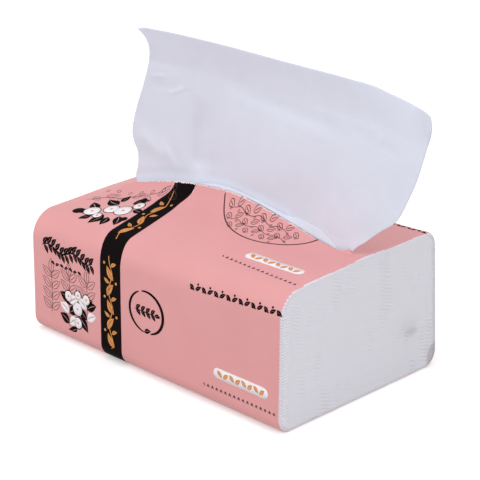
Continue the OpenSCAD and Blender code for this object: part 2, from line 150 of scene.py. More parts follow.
def film_point(travel, way, side, lift=0.0):
    """Place on the film. travel runs along the pack and round its end arcs; way runs over the
    section: 0 lip, 1 slope's foot, 2 wall's top, 3 wall's foot, 4 base's edge, 5 base's middle.
    Slope: line + half the tent times (1 - way)^9, or (1 - way^2)^4 past the slot. Corners: arcs."""
    travel, way, side, lift = np.broadcast_arrays(travel, way, side, lift)
    past = np.clip((np.abs(travel) - (half_length - end_radius)) / end_radius, 0, np.pi / 2)
    x = np.where(past > 0, np.sign(travel) * (half_length - end_radius + end_radius * np.sin(past)), travel)
    inset = end_radius * (1 - np.cos(past)) - lift - film_ripple(x, way, side)
    y0, z0, radius, turn = top_corner(x, side)
    lip, s = slot_half(x), np.clip(way, 0, 1)
    opened = smooth(4 * lip / slot_width)
    foot_y, foot_z = y0 + (radius - inset) * np.cos(turn), z0 + (radius - inset) * np.sin(turn)
    curl = 0.5 * tent(x) * (opened * (1 - s) ** 9 + (1 - opened) * (1 - s * s) ** 4)
    slope = lip + s * (foot_y - lip), foot_z + (1 - s) * (crest_height(x) - inset - foot_z) + curl
    a = turn + (wall_lean - turn) * np.clip(way - 1, 0, 1)
    corner = y0 + (radius - inset) * np.cos(a), z0 + (radius - inset) * np.sin(a)
    low_y = half_width(x, side) - np.tan(wall_lean) * base_radius - base_radius / np.cos(wall_lean)
    b = wall_lean - (np.pi / 2 + wall_lean) * np.clip(way - 3, 0, 1)
    base = low_y + (base_radius - inset) * np.cos(b), base_radius + (base_radius - inset) * np.sin(b)
    w = np.clip(way - 2, 0, 1)
    top_y, top_z = y0 + (radius - inset) * np.cos(wall_lean), z0 + (radius - inset) * np.sin(wall_lean)
    end_y = low_y + (base_radius - inset) * np.cos(wall_lean)
    end_z = base_radius + (base_radius - inset) * np.sin(wall_lean)
    wall = top_y + w * (end_y - top_y), top_z + w * (end_z - top_z)
    under = low_y * (1 - np.clip(way - 4, 0, 1)), inset
    parts = [way <= 1, way <= 2, way <= 3, way <= 4]
    y = np.select(parts, [slope[0], corner[0], wall[0], base[0]], under[0])
    z = np.select(parts, [slope[1], corner[1], wall[1], base[1]], under[1])
    return np.stack((x, side * y, z), -1)


def on_wall(x, z, side, lift):
    """Point of the film at a place x and a height z on a wall, which runs on over the top corner."""
    _, z0, radius, turn = top_corner(x, side)
    top, low = z0 + radius * np.sin(wall_lean), base_radius + base_radius * np.sin(wall_lean)
    over = (z - top) / (radius * (turn - wall_lean))
    return film_point(x, 2 - np.where(over > 0, over, (z - top) / (top - low)), side, lift)


def on_slope(x, y, lift):
    """Point of the film on a top slope at a place given in plan, or on the corner past its foot."""
    side = np.where(y < 0, -1, 1)
    y0, _, radius, turn = top_corner(x, side)
    foot = y0 + radius * np.cos(turn)
    s = (np.abs(y) - slot_half(x)) / (foot - slot_half(x))
    a = np.arccos(np.clip((np.abs(y) - y0) / radius, 0, 1))
    return film_point(x, np.where(s > 1, 1 + (turn - a) / (turn - wall_lean), s), side, lift)


def mesh_piece(name, points, faces, material, attribute=None):
    """An object from points in mm and faces, smooth, riding on the root."""
    mesh = bpy.data.meshes.new(name)
    metres = (np.asarray(points, float) * 0.001).reshape(-1, 3)
    mesh.from_pydata(metres.tolist(), [], np.asarray(faces).tolist())
    if attribute:
        values = mesh.attributes.new(attribute[0], "FLOAT", "POINT")
        values.data.foreach_set("value", np.asarray(attribute[1], np.float32).ravel())
    mesh.shade_smooth()
    mesh.materials.append(material)
    piece = bpy.data.objects.new(name, mesh)
    bpy.context.scene.collection.objects.link(piece)
    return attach(piece, "root")


def grid_faces(rows, columns, first=0, closed=False):
    """Quads of a grid of points, row by row; closed joins the last column to the first."""
    r = np.arange(rows - 1)[:, None]
    c = np.arange(columns if closed else columns - 1)[None, :]
    d = (c + 1) % columns
    corners = (r * columns + c, r * columns + d, (r + 1) * columns + d, (r + 1) * columns + c)
    return first + np.stack(np.broadcast_arrays(*corners), -1).reshape(-1, 4)


def weld(piece, distance=0.00001):
    """Merges the points where two edges meet."""
    shape = bmesh.new()
    shape.from_mesh(piece.data)
    bmesh.ops.remove_doubles(shape, verts=shape.verts, dist=distance)
    shape.to_mesh(piece.data)
    shape.free()


def thicken(piece, thickness, offset=-1.0):
    """Gives a sheet its thickness, in mm, on the side away from the eye."""
    wall = piece.modifiers.new("thickness", "SOLIDIFY")
    wall.thickness = thickness * 0.001
    wall.offset = offset


def ink(code, alpha=1.0):
    """Linear colour of an sRGB hex code."""
    parts = np.array([int(code[k:k + 2], 16) for k in (0, 2, 4)]) / 255
    linear = np.where(parts <= 0.04045, parts / 12.92, ((parts + 0.055) / 1.055) ** 2.4)
    return (*(float(c) for c in linear), alpha)


def node(tree, kind, sockets=None, **settings):
    """Adds a node. settings are its properties; sockets maps an input to a value or to an output."""
    made = tree.nodes.new("ShaderNode" + kind)
    for name, value in settings.items():
        setattr(made, name, value)
    for key, value in (sockets or {}).items():
        if isinstance(value, bpy.types.NodeSocket):
            tree.links.new(value, made.inputs[key])
        else:
            made.inputs[key].default_value = value
    return made


def new_material(name):
    """An empty node material and its Principled shader."""
    made = bpy.data.materials.new(name)
    made.use_nodes = True
    return made, made.node_tree, made.node_tree.nodes["Principled BSDF"]


# Gravure-printed polyethylene film: a smooth satin skin, slightly mottled. The print stops
# at the end folds in small scallops, one to a fold of the sheets, and the bare film there is
# white. The torn lips are stretched, so they go pale.
film_pink, tree, skin = new_material("gravure_printed_film")
rib_pitch = 0.00134
rib_rate = 2 * np.pi / rib_pitch
place = node(tree, "TexCoord").outputs["Object"]
axes_of = node(tree, "SeparateXYZ", {0: place})
cloud = node(tree, "TexNoise", {"Vector": place, "Scale": 38, "Detail": 3})
pink = node(tree, "Mix", {"Factor": cloud.outputs[0], 6: ink("DB9899"), 7: ink("E2A1A1")}, data_type="RGBA")
torn = node(tree, "Attribute", attribute_name="torn")
grit = node(tree, "TexNoise", {"Vector": place, "Scale": 900, "Detail": 2})
frayed = node(tree, "Math", {0: torn.outputs["Fac"], 1: grit.outputs[0]}, operation="MULTIPLY")
pale = node(tree, "MapRange", {0: frayed.outputs[0], 1: 0.22, 2: 0.5})
film_colour = node(
    tree, "Mix", {"Factor": pale.outputs[0], 6: pink.outputs[2], 7: ink("F3DEDD")}, data_type="RGBA"
)
drift = node(tree, "TexNoise", {"Vector": place, "Scale": 160, "Detail": 2})
drift_turn = node(tree, "Math", {0: drift.outputs[0], 1: 7.0}, operation="MULTIPLY")
rib_turn = node(
    tree, "Math", {0: axes_of.outputs["Z"], 1: rib_rate, 2: drift_turn.outputs[0]}, operation="MULTIPLY_ADD"
)
ribs = node(tree, "Math", {0: rib_turn.outputs[0]}, operation="SINE")
outward = node(tree, "Math", {0: axes_of.outputs["X"]}, operation="ABSOLUTE")
print_edge = node(tree, "MapRange", {0: ribs.outputs[0], 1: -1.0, 2: 1.0, 3: 0.08905, 4: 0.0895})
beyond = node(tree, "Math", {0: outward.outputs[0], 1: print_edge.outputs[0]}, operation="SUBTRACT")
bare = node(tree, "MapRange", {0: beyond.outputs[0], 1: -0.00006, 2: 0.00006})
skin_colour = node(
    tree, "Mix", {"Factor": bare.outputs[0], 6: film_colour.outputs[2], 7: ink("DFDAE6")}, data_type="RGBA"
)
tree.links.new(skin_colour.outputs[2], skin.inputs["Base Color"])
skin.inputs["Roughness"].default_value = 0.48
skin.inputs["Specular IOR Level"].default_value = 0.25
by_end = node(tree, "MapRange", {0: outward.outputs[0], 1: 0.0865, 2: 0.0895, 4: 0.6})
rib_height = node(tree, "Math", {0: ribs.outputs[0], 1: by_end.outputs[0]}, operation="MULTIPLY")
creases = node(tree, "TexNoise", {"Vector": place, "Scale": 110, "Detail": 4, "Roughness": 0.4})
relief = node(tree, "Math", {0: creases.outputs[0], 1: rib_height.outputs[0]}, operation="ADD")
bump = node(tree, "Bump", {"Height": relief.outputs[0], "Strength": 0.2, "Distance": 0.0006})
tree.links.new(bump.outputs[0], skin.inputs["Normal"])

sleeve_reach = half_length - end_radius + end_radius * 1.2


def way_steps(slope, corner, wall, base):
    """Steps over half a section, closer together by the lip."""
    return np.concatenate((
        np.linspace(0, 1, slope, endpoint=False) ** 1.7,
        1 + np.linspace(0, 1, corner, endpoint=False),
        2 + np.linspace(0, 1, wall, endpoint=False),
        3 + np.linspace(0, 1, corner, endpoint=False),
        4 + np.linspace(0, 1, base),
    ))


band_place, band_width = -28.7, 15.4
half_loop = way_steps(34, 14, 20, 7)
loop_way = np.concatenate((half_loop, half_loop[-2::-1]))
loop_side = np.concatenate((-np.ones(len(half_loop)), np.ones(len(half_loop) - 1)))
end_steps = sleeve_reach - np.linspace(0, 2.6, 9)
sleeve_travel = np.concatenate((-end_steps, np.linspace(-86.6, 86.6, 208), end_steps[::-1]))[:, None]
sleeve = film_point(sleeve_travel, loop_way[None, :], loop_side[None, :])
tooth = rng.uniform(0, 1, sleeve_travel.shape) ** 2 * 0.6
open_lip = smooth(slot_half(sleeve_travel), 0.2, 1.4)
at_lip = (1 - smooth(loop_way, 0, 0.012))[None, :]
sleeve[..., 2] += at_lip * open_lip * (tooth - 0.2 + 0.2 * np.sin(sleeve_travel / 6))
nub = np.exp(-(((sleeve_travel - 80.5) / 2.2) ** 2)) * (loop_side < 0) * (1 - smooth(loop_way, 0, 0.04))
sleeve[..., 2] += 1.5 * nub
over_band = 1 - smooth(np.abs(sleeve_travel - band_place - 1.8), band_width / 2 - 0.2, band_width / 2 + 0.2)
lip_pale = (1 - smooth(loop_way, 0.002, 0.012))[None, :]
torn_share = (lip_pale + 2 * over_band * (loop_way < 0.06)[None, :]) * open_lip

sleeve_faces = grid_faces(*sleeve.shape[:2])
printed_sleeve = mesh_piece("printed_sleeve", sleeve, sleeve_faces, film_pink, ("torn", torn_share))
weld(printed_sleeve)
thicken(printed_sleeve, 0.12)
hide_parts("film_wrapper")


# ---- The clear ends --------------------------------------------------------------------
# The same film left unprinted over both ends, drawn flat over the edges of the folded
# sheets, which show through it. It puckers over the folds along the front
# edge and has faint short ripples on the face.
film_clear, tree, skin = new_material("clear_heat_sealed_film")
place = node(tree, "TexCoord").outputs["Object"]
axes_of = node(tree, "SeparateXYZ", {0: place})
drift = node(tree, "TexNoise", {"Vector": place, "Scale": 70, "Detail": 3})
drift_turn = node(tree, "Math", {0: drift.outputs[0], 1: 16.0}, operation="MULTIPLY")
rib_turn = node(
    tree, "Math", {0: axes_of.outputs["Z"], 1: rib_rate, 2: drift_turn.outputs[0]}, operation="MULTIPLY_ADD"
)
ribs = node(tree, "Math", {0: rib_turn.outputs[0]}, operation="SINE")
fringe = node(tree, "Attribute", attribute_name="fringe")
rib_height = node(tree, "Math", {0: ribs.outputs[0], 1: fringe.outputs["Fac"]}, operation="MULTIPLY")
columns_of = node(tree, "Mapping", {"Vector": place, "Scale": (60, 150, 52)})
patch = node(tree, "TexNoise", {"Vector": columns_of.outputs[0], "Scale": 1, "Detail": 2})
patches = node(tree, "MapRange", {0: patch.outputs[0], 1: 0.54, 2: 0.7})
lean = node(tree, "VectorMath", {0: place, 1: (0, 900, 3300)}, operation="DOT_PRODUCT")
wander = node(tree, "TexNoise", {"Vector": place, "Scale": 95, "Detail": 2})
short = node(
    tree, "Math", {0: wander.outputs[0], 1: 12.0, 2: lean.outputs["Value"]}, operation="MULTIPLY_ADD"
)
ripple = node(tree, "Math", {0: short.outputs[0]}, operation="SINE")
ripple_height = node(
    tree, "Math", {0: ripple.outputs[0], 1: patches.outputs[0], 2: rib_height.outputs[0]}, operation="MULTIPLY_ADD"
)
bump = node(tree, "Bump", {"Height": ripple_height.outputs[0], "Strength": 0.36, "Distance": 0.0006})
tree.links.new(bump.outputs[0], skin.inputs["Normal"])
rib_share = node(tree, "MapRange", {0: ribs.outputs[0], 1: -0.7, 2: 0.9, 3: 0.3, 4: 0.8})
milky = node(tree, "Math", {0: rib_share.outputs[0], 1: fringe.outputs["Fac"]}, operation="MULTIPLY")
cover = node(tree, "MapRange", {0: milky.outputs[0], 3: 0.62, 4: 1.0})
tree.links.new(cover.outputs[0], skin.inputs["Alpha"])
# Painted shade: in a patch at the low back corner of the near end the film's colour is greyed, up to half way, to
# stand for the shade behind the film's empty corner past the rounded block.
painted_shade_turn = node(
    tree, "Mapping", {"Vector": place, "Location": (-11.2, -6.7, -0.5), "Scale": (125, 125, 110)}
)
painted_shade_reach = node(tree, "VectorMath", {0: painted_shade_turn.outputs[0]}, operation="LENGTH")
painted_shade_pocket = node(tree, "MapRange", {0: painted_shade_reach.outputs["Value"], 1: 0.75, 2: 1.0, 3: 0.5, 4: 0.0})
clear_tone_and_painted_shade = node(
    tree, "Mix", {"Factor": painted_shade_pocket.outputs[0], 6: ink("ECEBF2"), 7: ink("8F8C92")}, data_type="RGBA"
)
tree.links.new(clear_tone_and_painted_shade.outputs[2], skin.inputs["Base Color"])
skin.inputs["Roughness"].default_value = 0.24
skin.inputs["Specular IOR Level"].default_value = 0.4


def clear_end(near):
    """One end: from the print's edge round the arc, then in to the middle of the end face."""
    half = way_steps(26, 12, 110, 16)
    way = np.concatenate((half, half[-2::-1]))
    side = np.concatenate((-np.ones(len(half)), np.ones(len(half) - 1)))
    rim = half_length - end_radius + end_radius * np.pi / 2
    start = half_length - end_radius + 0.4
    turn_travel = start + np.linspace(0, 1, 12)[:, None] * (rim - start)
    turn = film_point(turn_travel * (1 if near else -1), way, side, -0.1)
    middle = np.array((half_length if near else -half_length, 0, near_height / 2))
    face_share = np.linspace(0, 1, 60)[1:, None, None] ** 0.9
    face = turn[-1] + face_share * (middle - turn[-1])
    y, z = face[..., 1], face[..., 2]
    puffs = 0.18 * np.sin(y / 19) * np.sin(z / 14)
    crinkle = puffs + 0.05 * np.sin(z * 1.1 + np.sin(y / 7)) * np.sin(y / 13 + 1) ** 2
    face[..., 0] += (crinkle - 0.12) * smooth(face_share[..., 0], 0, 0.15) * (1 if near else -1)
    points = np.concatenate((turn, face))
    inward = np.abs(points[..., 1:] - turn[None, -1, :, 1:]).sum(-1)
    front_wall = smooth(way, 1.2, 1.9) * (1 - smooth(way, 3.2, 3.8)) * np.where(side < 0, 1.0, 0.35)
    fringe_share = front_wall[None, :] * (1 - smooth(inward, 2.2, 6.0))
    faces = grid_faces(*points.shape[:2], closed=True)
    return points, faces if near else faces[:, ::-1], fringe_share


for end_name, near in (("clear_end_near", True), ("clear_end_far", False)):
    points, faces, fringe_share = clear_end(near)
    clear = mesh_piece(end_name, points, faces, film_clear, ("fringe", fringe_share))
    weld(clear)


# ---- The stack -------------------------------------------------------------------------
# A hundred three-ply sheets folded into each other and pressed into a block. Every few
# sheets the folds bunch into a soft rib, about 2.4 mm apart, that runs round the ends.
held_inset, end_inset, block_radius, folds = 1.0, 0.35, 1.8, 26
stack_white, tree, skin = new_material("pressed_tissue_stack")
place = node(tree, "TexCoord").outputs["Object"]
leaf_lines = node(tree, "Mapping", {"Vector": place, "Scale": (90, 60, 1100)})
leaves = node(tree, "TexNoise", {"Vector": leaf_lines.outputs[0], "Scale": 1, "Detail": 3})
tone = node(
    tree, "Mix", {"Factor": leaves.outputs[0], 6: ink("E8E7ED"), 7: ink("F0EFF5")}, data_type="RGBA"
)
smudge_turn = node(
    tree, "Mapping", {"Vector": place, "Location": (-14.9, -5.8, -7.8), "Scale": (166, 166, 333)}
)
halo_turn = node(
    tree, "Mapping", {"Vector": place, "Location": (-9.9, -3.6, -3.2), "Scale": (110, 110, 120)}
)
halo_reach = node(tree, "VectorMath", {0: halo_turn.outputs[0]}, operation="LENGTH")
halo = node(tree, "MapRange", {0: halo_reach.outputs["Value"], 1: 0.1, 2: 1.1, 3: 0.4, 4: 0.0})
smudge_reach = node(tree, "VectorMath", {0: smudge_turn.outputs[0]}, operation="LENGTH")
smudge = node(tree, "MapRange", {0: smudge_reach.outputs["Value"], 1: 0.2, 2: 1.0, 3: 0.95, 4: 0.0})
dimmed = node(
    tree, "Mix", {"Factor": halo.outputs[0], 6: tone.outputs[2], 7: ink("A7A0B0")}, data_type="RGBA"
)
marked = node(
    tree, "Mix", {"Factor": smudge.outputs[0], 6: dimmed.outputs[2], 7: ink("85765E")}, data_type="RGBA"
)
tree.links.new(marked.outputs[2], skin.inputs["Base Color"])
bump = node(tree, "Bump", {"Height": leaves.outputs[0], "Strength": 0.25, "Distance": 0.0004})
tree.links.new(bump.outputs[0], skin.inputs["Normal"])
skin.inputs["Roughness"].default_value = 0.95
skin.inputs["Sheen Weight"].default_value = 0.2

cells, side_cells = np.linspace(-1, 1, 61), np.linspace(-1, 1, 41)[1:-1]
loop = np.concatenate((
    np.stack((np.ones(61), cells), -1),
    np.stack((side_cells[::-1], np.ones(39)), -1),
    np.stack((-np.ones(61), cells[::-1]), -1),
    np.stack((side_cells, -np.ones(39)), -1),
))[None]
rise = np.linspace(0, 1, folds * 8 + 1)[:, None]
groove = 0.4 * (1 - np.abs(np.sin(np.pi * folds * rise))) ** 1.5
x = loop[..., 0] * (half_length - end_inset)
side, edge = np.where(loop[..., 1] < 0, -1, 1), np.abs(loop[..., 1])
y0, z0, radius, _ = top_corner(x, side)
low_y = half_width(x, side) - np.tan(wall_lean) * base_radius - base_radius / np.cos(wall_lean)
film_top = on_slope(x, loop[..., 1] * 50, -0.5)[..., 2]
under_film = np.clip(film_top - corner_height(x) + held_inset, 0, None)
top = corner_height(x) - held_inset + smooth(np.abs(x), 81, 87) * under_film
z = held_inset + rise * (top - held_inset)
straight = half_width(x, side) - np.tan(wall_lean) * z - held_inset / np.cos(wall_lean)
upper = y0 + np.sqrt(np.clip((radius - held_inset) ** 2 - np.clip(z - z0, 0, None) ** 2, 0, None))
lower = low_y + np.sqrt(np.clip((base_radius - held_inset) ** 2 - np.clip(base_radius - z, 0, None) ** 2, 0, None))
reach_y = np.where(z > z0, upper, np.where(z < base_radius, lower, straight))
round_share = np.clip((edge - 1 + block_radius / 54) / (block_radius / 54), 0, 1)
corner_cut = block_radius * (1 - np.sqrt(1 - round_share**2))
at_end = np.abs(loop[..., 0]) > 0.99
pinch = groove * (0.2 + 0.8 * smooth(edge, 0.94, 1.0))
x = np.where(at_end, loop[..., 0] * (half_length - end_inset - corner_cut - pinch), x * np.ones_like(rise))
y = loop[..., 1] * (reach_y + 0.5 * at_end - groove * smooth(edge, 0.9, 1.0))
block = np.stack((x, y, z), -1)
low_middle, top_middle = block[0].mean(0), np.array((0, 0, corner_height(0) - held_inset))
top_ring = block[-1] * (0.93, 0.93, 1)
top_ring[:, 2] = corner_height(top_ring[:, 0]) - held_inset
caps = [np.broadcast_to(middle, block[0].shape)[None] for middle in (low_middle, top_middle)]
block = np.concatenate((caps[0], block, top_ring[None], caps[1]))
stack = mesh_piece("tissue_block", block, grid_faces(*block.shape[:2], closed=True), stack_white)
weld(stack)
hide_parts("tissue_stack")


# ---- The drawn sheet -------------------------------------------------------------------
# One three-ply sheet, 180 by 120 mm, half pulled out. It lies on the stack, turns up and
# stands in the slot, gathered at its root and soft as a sail above, nodding at its top.
sheet_thickness = 0.35
tissue_white, tree, skin = new_material("creped_three_ply_tissue")
place = node(tree, "TexCoord").outputs["Object"]
fibre = node(tree, "TexNoise", {"Vector": place, "Scale": 1600, "Detail": 3, "Roughness": 0.6})
dimple = node(tree, "TexVoronoi", {"Vector": place, "Scale": 520}, feature="SMOOTH_F1")
crease = node(tree, "TexNoise", {"Vector": place, "Scale": 70, "Detail": 4, "Distortion": 0.4})
soft = node(
    tree, "Mix", {"Factor": crease.outputs[0], 6: ink("DADDEC"), 7: ink("E2E5F3")}, data_type="RGBA"
)
tree.links.new(soft.outputs[2], skin.inputs["Base Color"])
fine = node(tree, "Math", {0: fibre.outputs[0], 1: dimple.outputs["Distance"]}, operation="ADD")
grain = node(tree, "Bump", {"Height": fine.outputs[0], "Strength": 0.15, "Distance": 0.0003})
rumple = node(
    tree, "Bump", {"Height": crease.outputs[0], "Strength": 0.15, "Distance": 0.001, "Normal": grain.outputs[0]}
)
tree.links.new(rumple.outputs[0], skin.inputs["Normal"])
skin.inputs["Roughness"].default_value = 1.0
skin.inputs["Specular IOR Level"].default_value = 0.1
skin.inputs["Sheen Weight"].default_value = 0.1
skin.inputs["Subsurface Weight"].default_value = 0.12
skin.inputs["Subsurface Radius"].default_value = (1, 1, 1)
skin.inputs["Subsurface Scale"].default_value = 0.001

root_far, root_near = -67.0, 81.4
nod_depth, nod_reach = 6.0, 17.0
fold_lines = (  # start, end, width and height of each, in mm
    ((-18, 122), (-21, 78), 6.5, 2.6),
    ((-47, 97), (-36, 78), 3.4, -0.9),
    ((-66, 98), (-45, 88), 5.0, -1.2),
    ((2, 139), (72, 132), 4.8, 1.0),
    ((-55, 141), (-36, 141), 2.2, 0.3),
    ((-54, 126.8), (-33, 130), 2.6, 0.4),
    ((-35, 134), (-26, 128), 1.9, 0.3),
    ((-41, 125), (-28, 131), 1.3, -0.45),
    ((-52, 132), (-42, 134), 1.3, -0.4),
    ((80, 135), (91, 131), 3.0, 0.3),
    ((92, 138), (98, 131), 2.8, -0.25),
    ((97, 131), (109, 128), 3.0, 0.3),
)
far_edge = [(-67.0, 1.0, 70.6), (-68.6, 1.8, 74.5), (-67.0, 1.5, 80.0), (-66.7, 1.5, 84.1), (-67.2, 1.4, 88.4),
            (-69.2, 1.2, 92.4), (-70.2, 1.0, 96.4), (-69.7, 0.8, 100.9), (-68.4, 0.6, 105.5), (-64.4, 0, 115.2),
            (-59.5, -0.8, 125.0), (-55.3, -1.5, 134.4), (-52.9, -2.0, 141.0), (-51.9, -2.8, 148.0),
            (-53.5, -3.3, 152.0), (-58.0, -4.0, 155.6)]
near_edge = [(81.6, 0.4, 72.2), (84.2, 0.9, 76.0), (89.4, 1.0, 80.0), (99.2, 1.0, 88.1), (108.6, 1.2, 95.4),
             (116.0, 1.8, 108.5), (121.3, 2.5, 121.6), (123.0, 3.0, 127.8), (124.5, 3.6, 133.9),
             (125.8, 4.2, 139.6), (125.7, 4.8, 144.2), (124.0, 5.6, 148.8)]
top_edge = [(-58.0, -4.0, 155.6), (-54.8, -3.9, 156.6), (-47.0, -3.8, 157.3), (-10.0, -1.5, 157.9), (40.0, 1.0, 157.4),
            (78.0, 3.0, 157.1), (93.2, 4.2, 156.5), (100.9, 4.6, 155.2), (109.2, 5.1, 153.8), (117.2, 5.6, 151.8),
            (121.7, 5.7, 150.2), (124.0, 5.6, 148.8)]


def curve_through(points, shares):
    """A Catmull-Rom curve through points, at shares of its chord length."""
    p = np.asarray(points, float)
    knots = np.concatenate(([0], np.cumsum(np.linalg.norm(np.diff(p, axis=0), axis=1))))
    knots /= knots[-1]
    slopes = np.gradient(p, knots, axis=0)
    k = np.clip(np.searchsorted(knots, shares) - 1, 0, len(p) - 2)
    gap = (knots[k + 1] - knots[k])[:, None]
    q = ((shares - knots[k]) / gap[:, 0])[:, None]
    h = (2 * q**3 - 3 * q**2 + 1, q**3 - 2 * q**2 + q, 3 * q**2 - 2 * q**3, q**3 - q**2)
    return h[0] * p[k] + h[1] * gap * slopes[k] + h[2] * p[k + 1] + h[3] * gap * slopes[k + 1]


def soft_fold(x, z, start, end, width, height):
    """A fold along a line in x and z, in mm: height exp(-(off / width)^2), eased at its ends."""
    run = np.subtract(end, start)
    length = np.hypot(*run)
    gone = ((x - start[0]) * run[0] + (z - start[1]) * run[1]) / length**2
    off = ((x - start[0]) * run[1] - (z - start[1]) * run[0]) / length
    return height * np.exp(-((off / width) ** 2)) * smooth(gone, -0.2, 0.25) * (1 - smooth(gone, 0.75, 1.2))


def sheet_folds(u, t, x, z, top):
    """How far the standing sheet waves out of its plane, towards the back when positive. Its top
    nods forward in one soft roll, and small folds start from the root and from the edges."""
    sway = 1.2 * np.sin(2 * np.pi * (1.15 * u + 0.1)) * np.sin(np.pi * np.minimum(1, t * 1.1))
    gathers = 0.5 * np.sin(2 * np.pi * 3.1 * u + 0.8) * np.exp(-(((t - 0.12) / 0.16) ** 2))
    down = top - z
    nod = -nod_depth * np.clip(1 - down / nod_reach, 0, 1) ** 1.5
    nod = nod * (1 - 0.7 * smooth(u, 0.65, 0.97)) * (0.7 + 0.3 * smooth(u, 0.05, 0.3))
    corner = -0.8 * np.clip(0.861 * (x - 118.0) + 0.508 * (z - 149.8), 0, None)
    folds = sum(soft_fold(x, z, *line) for line in fold_lines)
    return (sway + gathers + nod + corner + folds) * smooth(t, 0.0, 0.2)


columns, rows = 230, 120
u, t = np.linspace(0, 1, columns), np.linspace(0, 1, rows)
root_x = root_far + u * (root_near - root_far)
root_y = slot_half(root_x) * (-0.1 + 0.15 * np.sin(np.radians(1080) * u))
root_line = np.stack((root_x, root_y, lip_height(root_x) - 1.2), -1)
far_line, near_line, top_line = (curve_through(p, s) for p, s in ((far_edge, t), (near_edge, t), (top_edge, u)))
far_line += (root_line[0] - far_line[0]) * ((1 - t) ** 8)[:, None]
near_line += (root_line[-1] - near_line[0]) * ((1 - t) ** 8)[:, None]
U, T = u[None, :, None], t[:, None, None]
stand = (
    (1 - T) * root_line[None] + T * top_line[None]
    + (1 - U) * far_line[:, None] + U * near_line[:, None]
    - (1 - U) * (1 - T) * root_line[0] - U * (1 - T) * root_line[-1]
    - (1 - U) * T * top_line[0] - U * T * top_line[-1]
)
folded = sheet_folds(u[None, :], t[:, None], stand[..., 0], stand[..., 2], stand[-1:, :, 2])
stand += folded[..., None] * (-1.0, 1.0, -0.56)


def sheet_root(x, y, height, side, foot, bend):
    """The part on the stack: a flat foot, a quarter turn of radius bend, and a riser up to height."""
    z = corner_height(x) - held_inset + 0.4 + sheet_thickness / 2 + 0.05
    flat = np.linspace(foot, 0, 9)[:, None]
    lay = np.stack(np.broadcast_arrays(x, y + side * (bend + flat), z + 0 * flat), -1)
    a = np.linspace(0, np.pi / 2, 7)[1:, None]
    turn = np.stack(np.broadcast_arrays(x, y + side * bend * (1 - np.sin(a)), z + bend * (1 - np.cos(a))), -1)
    q = np.linspace(0, 1, 7)[1:-1, None]
    riser = np.stack(np.broadcast_arrays(x, y + 0 * q, z + bend + q * (height - z - bend)), -1)
    return np.concatenate((lay, turn, riser))


drawn = np.concatenate((sheet_root(root_x, root_y, root_line[:, 2], 1, 24, 1.6), stand))
drawn_sheet = mesh_piece("drawn_sheet", drawn, grid_faces(*drawn.shape[:2]), tissue_white)
thicken(drawn_sheet, sheet_thickness, 0)
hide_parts("pulled_tissue")


# ---- The next sheet --------------------------------------------------------------------
# The sheet folded into the drawn one, which has followed it up. On the near half of the slot
# its edge leans on the drawn sheet just over the lip, as a paler strip. Its foot lies on the
# stack. Only its free part is made, 145 mm by about 45 mm; the rest lies folded in the block.
next_far, next_near, next_sink, next_hem, next_rise = -67.0, 78.0, 1.2, 0.6, 3.6
un = np.linspace(0, 1, 150)
next_x = next_far + un * (next_near - next_far)
next_y = -0.62 * slot_half(next_x)
seen = (0.2 * smooth(un, 0.28, 0.42) + 0.8 * smooth(un, 0.72, 0.86)) * (1 - smooth(un, 0.88, 0.995))
next_top = next_hem + (next_rise + next_sink) * seen + 0.25 * seen * np.sin(0.31 * next_x)
lip_line = lip_height(next_x) - next_sink
q = np.linspace(0, 1, 13)[:, None]
root_share = (next_x - root_far) / (root_near - root_far)
beside = np.clip(np.round(root_share * (columns - 1)), 0, columns - 1).astype(int)
level = np.clip(np.round(q * next_top / 0.72), 0, rows - 1).astype(int)
over_lip = np.clip((q * next_top - 1.0) / (next_top - 0.95 + 1e-6), 0, 1) ** 0.7 * smooth(next_top, 1.0, 1.5)
lean_in = (stand[level, beside, 1] - sheet_thickness - 0.05 - next_y) * over_lip
top_part = np.stack(np.broadcast_arrays(next_x, next_y + lean_in, lip_line + q * next_top), -1)
following = np.concatenate((sheet_root(next_x, next_y, lip_line, -1, 24, 1.6), top_part))
next_sheet = mesh_piece("next_sheet", following, grid_faces(*following.shape[:2])[:, ::-1], tissue_white)
thicken(next_sheet, sheet_thickness, 0)
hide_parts("next_tissue")


# ---- The dark band ---------------------------------------------------------------------
# A band of black ink printed right round the pack, from lip to lip. Where the perforation
# tore through it, its edge is chipped and the pale film shows.

def gravure_ink(name, grain, dark, light, roughness, specular=0.5):
    """A printed ink: fine noise of the print screen between two tones, evenly glossy."""
    made, tree, skin = new_material(name)
    place = node(tree, "TexCoord").outputs["Object"]
    screen = node(tree, "TexNoise", {"Vector": place, "Scale": grain, "Detail": 3})
    tone = node(tree, "Mix", {"Factor": screen.outputs[0], 6: ink(dark), 7: ink(light)}, data_type="RGBA")
    tree.links.new(tone.outputs[2], skin.inputs["Base Color"])
    skin.inputs["Roughness"].default_value = roughness
    skin.inputs["Specular IOR Level"].default_value = specular
    return made


ink_black = gravure_ink("black_gravure_ink", 260, "0B0607", "130C0D", 0.6, 0.02)

band_rows = 42
on_slopes = smooth(loop_way, 0.02, 0.25)
band_swing = 1.8 * (1 - smooth(loop_way, 0, 0.2)) - 2.4 * on_slopes * (1 - smooth(loop_way, 1.0, 1.9))
band_travel = band_place + band_swing[None, :] + np.linspace(-0.5, 0.5, band_rows)[:, None] * band_width
chip = 0.003 + 0.009 * rng.uniform(0, 1, (band_rows, 1)) ** 2
band_way = chip + (5 - chip) * loop_way[None, :] / 5
band = film_point(band_travel, band_way, loop_side[None, :], 0.05)
dark_band = mesh_piece("dark_band", band, grid_faces(*band.shape[:2]), ink_black)
thicken(dark_band, 0.04)
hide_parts("printed_band")


# ---- Amber leaves on the band ----------------------------------------------------------
# A winding vine of leaves in amber ink, overprinted on the dark band.
ink_amber = gravure_ink("amber_gravure_ink", 400, "CB7A28", "DE9440", 0.45)


